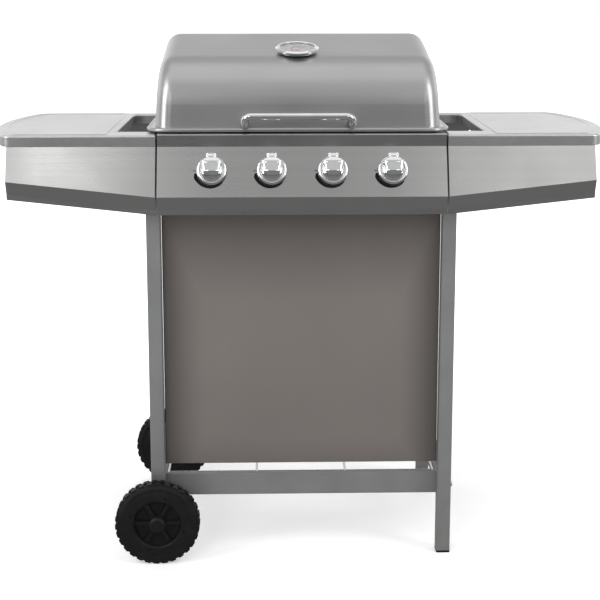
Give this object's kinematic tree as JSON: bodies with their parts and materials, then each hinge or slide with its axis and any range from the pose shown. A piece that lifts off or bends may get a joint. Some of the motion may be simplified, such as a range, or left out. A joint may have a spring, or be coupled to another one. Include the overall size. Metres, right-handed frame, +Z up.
{
  "type": "gas barbecue grill",
  "caption": "Free-standing gas barbecue on a two-wheeled cart, with a hinged lid, burner knobs and side shelves.",
  "frame": {"origin": "on the floor, under the middle of the grill's whole box", "axes": "+Z up, the front with the knobs faces -Y, the wheels are at -X"},
  "size_m": [1.094, 0.475, 0.9384],
  "materials": {
    "frame_paint": "silver-grey powder coat",
    "lid_steel": "brushed stainless steel",
    "console_steel": "brushed stainless steel",
    "shelf_steel": "light silver coat",
    "panel_paint": "warm grey coat",
    "chrome": "polished chrome",
    "black_plastic": "moulded black",
    "bright_steel": "zinc-plated",
    "stainless": "plain stainless",
    "firebox_enamel": "black heat-proof enamel",
    "cast_iron": "matt enamelled",
    "brass": "machined",
    "spark_ceramic": "glazed",
    "rubber": "matt",
    "dial_face": "matt print",
    "dial_pointer": "red",
    "dial_glass": "clear"
  },
  "bodies": {
    "cart": {"leg_front_left": "frame_paint", "leg_front_right": "frame_paint", "leg_rear_left": "frame_paint", "leg_rear_right": "frame_paint", "bottom_rail_front": "frame_paint", "bottom_rail_rear": "frame_paint", "bottom_side_rails": "frame_paint", "top_side_rails": "frame_paint", "top_rail_rear": "frame_paint", "shelf_brackets": "frame_paint", "hinge_brackets": "frame_paint", "control_panel": "console_steel", "fascia_left": "console_steel", "fascia_right": "console_steel", "side_shelf_left": "shelf_steel", "side_shelf_right": "shelf_steel", "front_panel": "panel_paint", "warming_rack": "chrome", "leg_plugs": "black_plastic", "axle_caps": "black_plastic", "knob_bezels": "black_plastic", "axle": "bright_steel", "axle_spacers": "bright_steel", "gas_manifold": "bright_steel", "hinge_pins": "bright_steel", "frame_bolts": "bright_steel", "panel_screws": "bright_steel", "bottom_rack": "bright_steel", "burners": "stainless", "flame_tamers": "stainless", "tray_runners": "stainless", "firebox": "firebox_enamel", "cooking_grates": "cast_iron", "gas_valves": "brass", "gas_inlet": "brass", "igniters": "spark_ceramic"},
    "lid": {"lid_shell": "lid_steel", "lid_handle": "chrome", "handle_spacers": "black_plastic", "handle_screws": "bright_steel", "thermometer_case": "bright_steel", "thermometer_bezel": "chrome", "thermometer_dial": "dial_face", "thermometer_glass": "dial_glass", "thermometer_probe": "bright_steel", "lid_hinge_ears": "bright_steel", "lid_bumpers": "rubber"},
    "needle": {"thermometer_needle": "dial_pointer"},
    "wheel_front": {"wheel_front": "black_plastic"},
    "wheel_rear": {"wheel_rear": "black_plastic"},
    "grease_tray": {"grease_tray": "stainless"},
    "knob_1": {"knob_1": "chrome"},
    "knob_2": {"knob_2": "chrome"},
    "knob_3": {"knob_3": "chrome"},
    "knob_4": {"knob_4": "chrome"},
    "valve_stem_1": {"valve_stem_1": "bright_steel"},
    "valve_stem_2": {"valve_stem_2": "bright_steel"},
    "valve_stem_3": {"valve_stem_3": "bright_steel"},
    "valve_stem_4": {"valve_stem_4": "bright_steel"}
  },
  "joints": [
    {"name": "lid_hinge", "type": "hinge", "parent": "cart", "child": "lid", "pos_m": [0, 0.1921, 0.789], "axis": [-1, 0, 0], "range_deg": [0, 90]},
    {"name": "needle_turn", "type": "hinge", "parent": "lid", "child": "needle", "pos_m": [-0.006, -0.0579, 0.91], "axis": [0, 0.2164, -0.9763], "range_deg": [0, 236], "stiffness_Nm_per_rad": 0.002},
    {"name": "wheel_front_spin", "type": "hinge", "parent": "cart", "child": "wheel_front", "pos_m": [-0.26, -0.1775, 0.076], "axis": [0, 1, 0], "continuous": true},
    {"name": "wheel_rear_spin", "type": "hinge", "parent": "cart", "child": "wheel_rear", "pos_m": [-0.26, 0.2162, 0.076], "axis": [0, 1, 0], "continuous": true},
    {"name": "grease_tray_slide", "type": "slide", "parent": "cart", "child": "grease_tray", "axis": [0, 1, 0], "range_m": [0, 0.13]},
    {"name": "knob_1_turn", "type": "hinge", "parent": "cart", "child": "valve_stem_1", "pos_m": [-0.154, -0.20136, 0.718], "axis": [0, -0.9405, 0.3399], "range_deg": [0, 180]},
    {"name": "knob_1_push", "type": "slide", "parent": "valve_stem_1", "child": "knob_1", "axis": [0, 0.9405, -0.3399], "range_m": [0, 0.0035], "stiffness_N_per_m": 600, "springref_m": -0.003},
    {"name": "knob_2_turn", "type": "hinge", "parent": "cart", "child": "valve_stem_2", "pos_m": [-0.052, -0.20136, 0.718], "axis": [0, -0.9405, 0.3399], "range_deg": [0, 180]},
    {"name": "knob_2_push", "type": "slide", "parent": "valve_stem_2", "child": "knob_2", "axis": [0, 0.9405, -0.3399], "range_m": [0, 0.0035], "stiffness_N_per_m": 600, "springref_m": -0.003},
    {"name": "knob_3_turn", "type": "hinge", "parent": "cart", "child": "valve_stem_3", "pos_m": [0.052, -0.20136, 0.718], "axis": [0, -0.9405, 0.3399], "range_deg": [0, 180]},
    {"name": "knob_3_push", "type": "slide", "parent": "valve_stem_3", "child": "knob_3", "axis": [0, 0.9405, -0.3399], "range_m": [0, 0.0035], "stiffness_N_per_m": 600, "springref_m": -0.003},
    {"name": "knob_4_turn", "type": "hinge", "parent": "cart", "child": "valve_stem_4", "pos_m": [0.154, -0.20136, 0.718], "axis": [0, -0.9405, 0.3399], "range_deg": [0, 180]},
    {"name": "knob_4_push", "type": "slide", "parent": "valve_stem_4", "child": "knob_4", "axis": [0, 0.9405, -0.3399], "range_m": [0, 0.0035], "stiffness_N_per_m": 600, "springref_m": -0.003}
  ]
}
